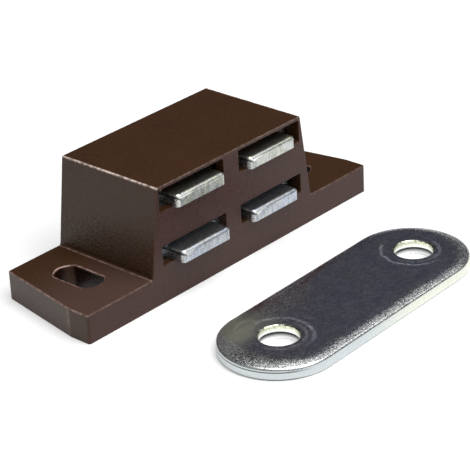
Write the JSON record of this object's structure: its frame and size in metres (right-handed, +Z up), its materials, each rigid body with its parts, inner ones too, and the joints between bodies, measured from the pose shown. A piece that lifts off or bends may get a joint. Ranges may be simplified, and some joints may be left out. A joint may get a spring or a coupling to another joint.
{
  "type": "magnetic catch",
  "caption": "Surface-mounted magnetic catch for a cabinet door: drafted moulded housing with slotted screw flanges, floating steel pole plates, and a round-ended strike plate.",
  "frame": {"origin": "middle of the housing's underside, the face that is screwed to the cabinet", "axes": "+X along the housing between its two screw slots; -Y out of the front, the way the pole plates look at the door; +Z up out of the mounting face"},
  "size_m": [0.06, 0.0485, 0.0178],
  "materials": {
    "housing_plastic": "dark brown moulded plastic, fine satin grain",
    "cover_plastic": "dark brown moulded plastic",
    "zinc_steel": "punched steel, bright zinc plated",
    "strike_steel": "steel, zinc plated, slightly mottled",
    "ferrite": "pressed and ground ferrite"
  },
  "bodies": {
    "housing": {"housing": "housing_plastic", "bottom_cover": "cover_plastic", "strike_plate": "strike_steel"},
    "magnet_pack_left": {"magnet_left": "ferrite"},
    "plate_upper_left": {"pole_plate_upper_left": "zinc_steel"},
    "plate_lower_left": {"pole_plate_lower_left": "zinc_steel"},
    "magnet_pack_right": {"magnet_right": "ferrite"},
    "plate_upper_right": {"pole_plate_upper_right": "zinc_steel"},
    "plate_lower_right": {"pole_plate_lower_right": "zinc_steel"}
  },
  "joints": [
    {"name": "pack_lift_left", "type": "slide", "parent": "housing", "child": "magnet_pack_left", "axis": [0, 0, 1], "range_m": [0, 0.0011]},
    {"name": "plate_slide_upper_left", "type": "slide", "parent": "magnet_pack_left", "child": "plate_upper_left", "axis": [0, -1, 0], "range_m": [-0.00075, 0.00095]},
    {"name": "plate_slide_lower_left", "type": "slide", "parent": "magnet_pack_left", "child": "plate_lower_left", "axis": [0, -1, 0], "range_m": [-0.00165, 0.00005]},
    {"name": "pack_lift_right", "type": "slide", "parent": "housing", "child": "magnet_pack_right", "axis": [0, 0, 1], "range_m": [0, 0.0011]},
    {"name": "plate_slide_upper_right", "type": "slide", "parent": "magnet_pack_right", "child": "plate_upper_right", "axis": [0, -1, 0], "range_m": [-0.00065, 0.00105]},
    {"name": "plate_slide_lower_right", "type": "slide", "parent": "magnet_pack_right", "child": "plate_lower_right", "axis": [0, -1, 0], "range_m": [-0.0011, 0.0006]}
  ]
}
